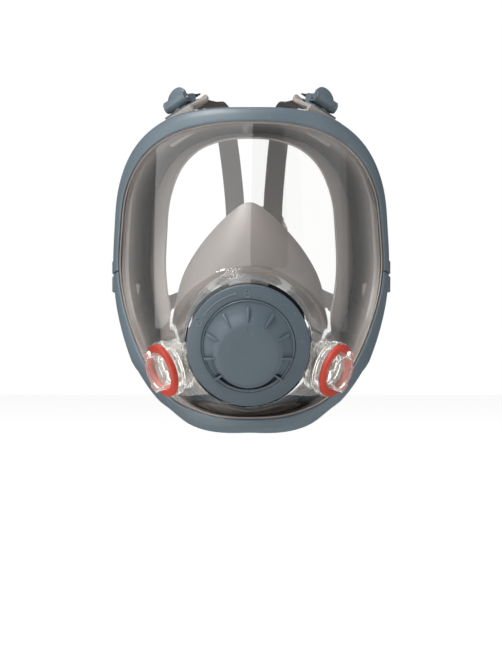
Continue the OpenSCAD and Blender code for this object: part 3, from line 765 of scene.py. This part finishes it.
# one finger rib: a fin with a straight sloping top, standing on the slope
def makeCoverRib(degrees):
    s = coverSettings
    length = 7.6 + 2 * math.cos(math.radians(degrees))
    low = 8.3 if abs(degrees) < 120 else 6.5
    side = [(-1.2, 12.6), (-0.4, 13.5), (length * 0.35, 12.9), (length * 0.7, 11.6), (length, 10.1),
            (length + 0.3, 9.6), (length + 0.3, low), (-1.2, low)]
    bm = slab([(-s["ribWidth"] / 2, s["island"] + y, h) for y, h in side], (s["ribWidth"], 0, 0), 0.25)
    # the fin narrows towards the middle
    narrow = s["ribNarrow"]
    for v in bm.verts:
        v.co.x *= narrow + (1 - narrow) * smoothStep(s["island"] - 1, s["island"] + 6, v.co.y / mm)
    return bm


# a turn about the snout's axis, clockwise as seen from the front
def dialTurn(degrees):
    return Matrix.Rotation(-math.radians(degrees), 4, "Z")


def makeCover():
    s = coverSettings
    n = s["stations"]
    bm = loft([coverSection(360 * k / n) for k in range(n)])
    for degrees in range(-4 * s["ribStep"], 4 * s["ribStep"] + 1, s["ribStep"]):
        m = Matrix.Translation((0, -s["drop"] * mm, 0)) @ dialTurn(degrees)
        joinInto(bm, makeCoverRib(degrees), m)
    pointer = block((-0.3, 10.8, 13.2), (0.3, 13.4, 13.8), 0.15)
    joinInto(bm, pointer, Matrix.Rotation(math.radians(4), 4, "Z"))
    bmesh.ops.transform(bm, matrix=snoutFrame, verts=bm.verts)
    return bm


piece("twistCover", makeCover(), dialMat, body="cover", stands=["valve_cover"], smooth=35)
print("twist cover made")

# cover ring with its locked and unlocked marks
ringSettings = {"inner": 31.6, "outer": 41.4, "arrowRadius": 36.4, "arrow": (-56, -12), "raised": 0.5}
padlockSettings = {"half": 1.9, "foot": -2.7, "thin": 0.55, "tall": 0.55, "shackle": 1.15, "swing": 1.7}


def ringHeight(r):
    return 7.3 - (r - 32.6) * 0.115


def arcStrip(radius, start, end, width, low, high):
    steps = max(4, int(abs(end - start) / 2))
    sections = []
    for i in range(steps + 1):
        a = math.radians(start + (end - start) * i / steps)
        sections.append([Vector((math.sin(a) * r, math.cos(a) * r, h)) for r, h in (
            (radius - width / 2, low), (radius + width / 2, low), (radius + width / 2, high),
            (radius - width / 2, high))])
    return loft(sections, wrap=False)


# a padlock outline about 5 mm tall, its shackle swung aside when it is open
def makePadlock(opened):
    s = padlockSettings
    half, foot, thin, tall, shackle = s["half"], s["foot"], s["thin"], s["tall"], s["shackle"]
    bm = bmesh.new()
    bars = (((-half, foot), (half, foot + thin)), ((-half, 0), (half, thin)),
            ((-half, foot), (-half + thin, thin)), ((half - thin, foot), (half, thin)))
    for low, high in bars:
        joinInto(bm, block((*low, 0), (*high, tall), 0.12, 1))
    slide = s["swing"] if opened else 0
    loop = arcStrip(shackle, -90, 90, 0.5, 0, tall)
    joinInto(bm, loop, Matrix.Translation((slide * mm, 1.5 * mm, 0)))
    for x in ((slide - shackle,) if opened else (-shackle, shackle)):
        joinInto(bm, block((x - 0.25, 0.3, 0), (x + 0.25, 1.6, tall), 0.1, 1))
    return bm


def makeCoverRing():
    s = ringSettings
    inner, outer = s["inner"], s["outer"]
    bm = turned([(inner, 3.1), (outer - 0.5, 3.1), (outer, 3.6), (outer, 5.6), (outer - 0.2, 6.0),
                 (outer - 0.6, 6.3), (40, 6.45), (36, 6.91), (32.6, 7.3), (31.9, 7.25), (inner, 6.95)], 192)
    bmesh.ops.transform(bm, matrix=snoutFrame, verts=bm.verts)
    return bm


def makeRingMarks():
    s = ringSettings
    bm = bmesh.new()
    sunk = padlockSettings["tall"]
    for opened, degrees, radius in ((False, -1, 35.6), (True, -65, 37.4)):
        height = ringHeight(radius) - sunk + s["raised"]
        spot = dialTurn(degrees) @ Matrix.Translation((0, radius * mm, height * mm))
        joinInto(bm, makePadlock(opened), spot)
    start, end = s["arrow"]
    high = ringHeight(s["arrowRadius"]) + s["raised"]
    joinInto(bm, arcStrip(s["arrowRadius"], start, end, 0.7, high - 0.6, high))
    # both ends of the arrow get the two barbs of a head
    for degrees, lean in ((start, 1), (end, -1)):
        spot = dialTurn(degrees) @ Matrix.Translation((0, s["arrowRadius"] * mm, high * mm))
        for flip in (-1, 1):
            barb = block((-0.25, -0.2, -0.5), (0.25, 1.9, 0), 0.1, 1)
            joinInto(bm, barb, spot @ dialTurn(lean * (90 + flip * 30)))
    bmesh.ops.transform(bm, matrix=snoutFrame, verts=bm.verts)
    return bm


piece("coverRing", makeCoverRing(), dialMat, stands=["cover_ring"], smooth=35)
# the marks are raised geometry, and their lighter finish is a painted highlight
piece("ringMarks", makeRingMarks(), markPaintedHighlightMat, smooth=35)
print("cover ring made")

# buckle levers: a domed thumb tab on a round hinge
leverSettings = {
    "pin": (-2, 6.2), "rest": {"upper": 52, "lower": 36}, "half": 7.7, "reach": 4.8, "tab": 8.2, "wide": 9.6,
    "tabThick": 2.0, "crown": ((0.8, 0.45), (1.4, 0.25), (2.0, 0.1)), "wing": 3.55,
    "land": [(-4.1, -0.6), (-3.9, 2.1), (-2.4, 4), (0.6, 4.9), (3.8, 4), (3.8, 1.3), (0, 0)],
}


def makeLever(row, side):
    s = leverSettings
    # the thumb tab is a half-round plate, crowned towards its middle
    tab = [(-s["half"], -1.0), (s["half"], -1.0)]
    tab += [(s["tab"] * math.cos(a), s["reach"] + s["tab"] * math.sin(a))
            for a in [math.pi * k / 20 for k in range(21)]]
    bm = slab([(x, y, -1.3) for x, y in tab], (0, 0, s["tabThick"]), round=0)
    topFace = max(bm.faces, key=lambda f: f.calc_center_median().z)
    for thick, height in s["crown"]:
        bmesh.ops.inset_region(bm, faces=[topFace], thickness=thick * mm)
        bmesh.ops.translate(bm, vec=(0, 0, height * mm), verts=topFace.verts)
    barrel = turned([(1.6, -s["half"]), (2.7, -s["half"]), (3.2, -s["half"] + 0.5), (3.2, s["half"] - 0.5),
                     (2.7, s["half"]), (1.6, s["half"])], 48)
    joinInto(bm, barrel, Matrix.Rotation(math.radians(90), 4, "Y"))
    # the faceted land across the hinge, with a thinner wing over each of the base's ears
    joinInto(bm, slab([(-s["half"], y, z) for y, z in s["land"]], (2 * s["half"], 0, 0)))
    wing = [(s["wing"] * math.cos(math.radians(d)), s["wing"] * math.sin(math.radians(d)))
            for d in range(30, 181, 15)]
    wing += [(-4.15, 0.4)] + s["land"][1:5]
    for end in (-s["wide"], s["half"] - 0.2):
        joinInto(bm, slab([(end, y, z) for y, z in wing], (s["wide"] - s["half"] + 0.2, 0, 0), 0.2))
    clamp = block((-7, 0, -1.2), (7, 4.6, 1.2), 0.4)
    joinInto(bm, clamp, Matrix.Rotation(-math.radians(s["rest"][row] + 8), 4, "X"))
    m = holdFrame(row, side) @ Matrix.Translation((0, s["pin"][0] * mm, s["pin"][1] * mm)) \
        @ Matrix.Rotation(math.radians(s["rest"][row]), 4, "X")
    bmesh.ops.transform(bm, matrix=m, verts=bm.verts)
    return bm


for row in holds:
    for side, word in sides.items():
        piece("lever" + row.capitalize() + word.capitalize(), makeLever(row, side), shellMat,
              body="lever_%s_%s" % (row, word), stands=["buckle_lever_%s_%s" % (row, word)],
              smooth=40)
print("buckle levers made")

# the finishes of the parts that stay as they were cut
keptFinishes = {
    "frame_screws": steelMat, "frame_nuts": steelMat, "buckle_pins": steelMat, "lug_rivets": steelMat,
    "buckle_base": shellMat, "port": portMat, "port_gasket": gasketMat, "adapter_body": dialMat,
    "adapter_gasket": seatMat, "cover_o_ring": darkRubberMat, "exhalation_seat": seatMat,
    "nose_valve_seat": seatMat, "exhalation_valve": flapMat, "inhalation_valve": flapMat,
    "nose_valve": flapMat,
}
for name, obj in cadNodes.items():
    best = max((k for k in keptFinishes if name.startswith(k)), key=len, default=None)
    if best is None:
        continue
    for s in obj.material_slots:
        s.material = keptFinishes[best]
print("kept parts finished")

# floor, lights and camera
stageSettings = {
    "floor": -0.292, "floorSize": 14, "floorGlow": 0.6, "room": 0.42, "roomInSheens": 0.14,
    "distance": 1.5, "height": -0.0464, "view": 0.4817, "sensor": 36, "yaw": 1.0,
}
# azimuth, elevation, distance, width, height and power; the sheens are big diffusers beside the camera,
# there only for the long reflections in the lens
lightSettings = {
    "keySoft": (-46, 55, 2.2, 0.9, 0.9, 58),
    "fillSoft": (62, 15, 2.4, 1.6, 2.2, 4),
    "topSoft": (-10, 78, 2.2, 1.4, 1.4, 10),
    "leftSheen": (-43.5, 4, 2.6, 4.9, 5.4, 185),
    "rightSheen": (59, 4, 2.6, 2.8, 5.4, 32),
}


def makeFloor():
    bm = bmesh.new()
    bmesh.ops.create_grid(bm, x_segments=1, y_segments=1, size=stageSettings["floorSize"] / 2)
    bmesh.ops.translate(bm, vec=(0, 0, stageSettings["floor"]), verts=bm.verts)
    mesh = bpy.data.meshes.new("floor")
    bm.to_mesh(mesh)
    bm.free()
    floor = bpy.data.objects.new("floor", mesh)
    bpy.context.scene.collection.objects.link(floor)
    mat = moulded("paleFloor", (0.86, 0.86, 0.855), (0.88, 0.88, 0.875), rough=0.8, grain=200, depth=0.02)
    surface = mat.node_tree.nodes["Principled BSDF"]
    surface.inputs["Emission Color"].default_value = (1, 1, 1, 1)
    surface.inputs["Emission Strength"].default_value = stageSettings["floorGlow"]
    mesh.materials.append(mat)
    floor.visible_glossy = False


def makeLight(name, azimuth, elevation, distance, width, height, power):
    data = bpy.data.lights.new(name, "AREA")
    data.shape, data.size, data.size_y, data.energy = "RECTANGLE", width, height, power
    lamp = bpy.data.objects.new(name, data)
    bpy.context.scene.collection.objects.link(lamp)
    a, e = math.radians(azimuth), math.radians(elevation)
    spot = Vector((math.sin(a) * math.cos(e), -math.cos(a) * math.cos(e), math.sin(e))) * distance
    lamp.location = spot
    lamp.rotation_euler = (-spot).to_track_quat("-Z", "Y").to_euler()
    lamp.visible_transmission = False
    lamp.visible_diffuse = not name.endswith("Sheen")


def makeWorld():
    world = bpy.data.worlds.new("studio")
    bpy.context.scene.world = world
    world.use_nodes = True
    tree = world.node_tree
    link = tree.links.new
    room = tree.nodes["Background"]
    room.inputs["Color"].default_value = (1, 1, 1, 1)
    white = node(tree, "ShaderNodeBackground")
    white.inputs["Color"].default_value = (1, 1, 1, 1)
    white.inputs["Strength"].default_value = 1.0
    path = node(tree, "ShaderNodeLightPath")
    choose = node(tree, "ShaderNodeMixShader")
    # white behind the object, both straight from the camera and through its clear parts
    straight = node(tree, "ShaderNodeMath", operation="LESS_THAN")
    straight.inputs[1].default_value = 0.5
    behind = node(tree, "ShaderNodeMath", operation="MULTIPLY_ADD")
    link(path.outputs["Diffuse Depth"], straight.inputs[0])
    link(path.outputs["Is Transmission Ray"], behind.inputs[0])
    link(straight.outputs[0], behind.inputs[1])
    link(path.outputs["Is Camera Ray"], behind.inputs[2])
    link(behind.outputs[0], choose.inputs["Fac"])
    # reflections see a darker room, so the two sheens stand out
    dimmer = node(tree, "ShaderNodeMath", operation="MULTIPLY_ADD")
    dimmer.inputs[1].default_value = stageSettings["roomInSheens"] - stageSettings["room"]
    dimmer.inputs[2].default_value = stageSettings["room"]
    link(path.outputs["Is Glossy Ray"], dimmer.inputs[0])
    link(dimmer.outputs[0], room.inputs["Strength"])
    link(room.outputs[0], choose.inputs[1])
    link(white.outputs[0], choose.inputs[2])
    link(choose.outputs[0], tree.nodes["World Output"].inputs["Surface"])


def makeCamera():
    s = stageSettings
    camera = bpy.data.objects.new("camera", bpy.data.cameras.new("camera"))
    bpy.context.scene.collection.objects.link(camera)
    bpy.context.scene.camera = camera
    camera.data.sensor_width = s["sensor"]
    camera.data.lens = s["sensor"] * s["distance"] / s["view"]
    yaw = math.radians(s["yaw"])
    camera.location = (math.sin(yaw) * s["distance"], -math.cos(yaw) * s["distance"], s["height"])
    camera.rotation_euler = (math.radians(90), 0, yaw)


makeFloor()
for name, values in lightSettings.items():
    makeLight(name, *values)
makeWorld()
makeCamera()
bpy.context.scene.view_settings.view_transform = "Standard"
print("stage set")
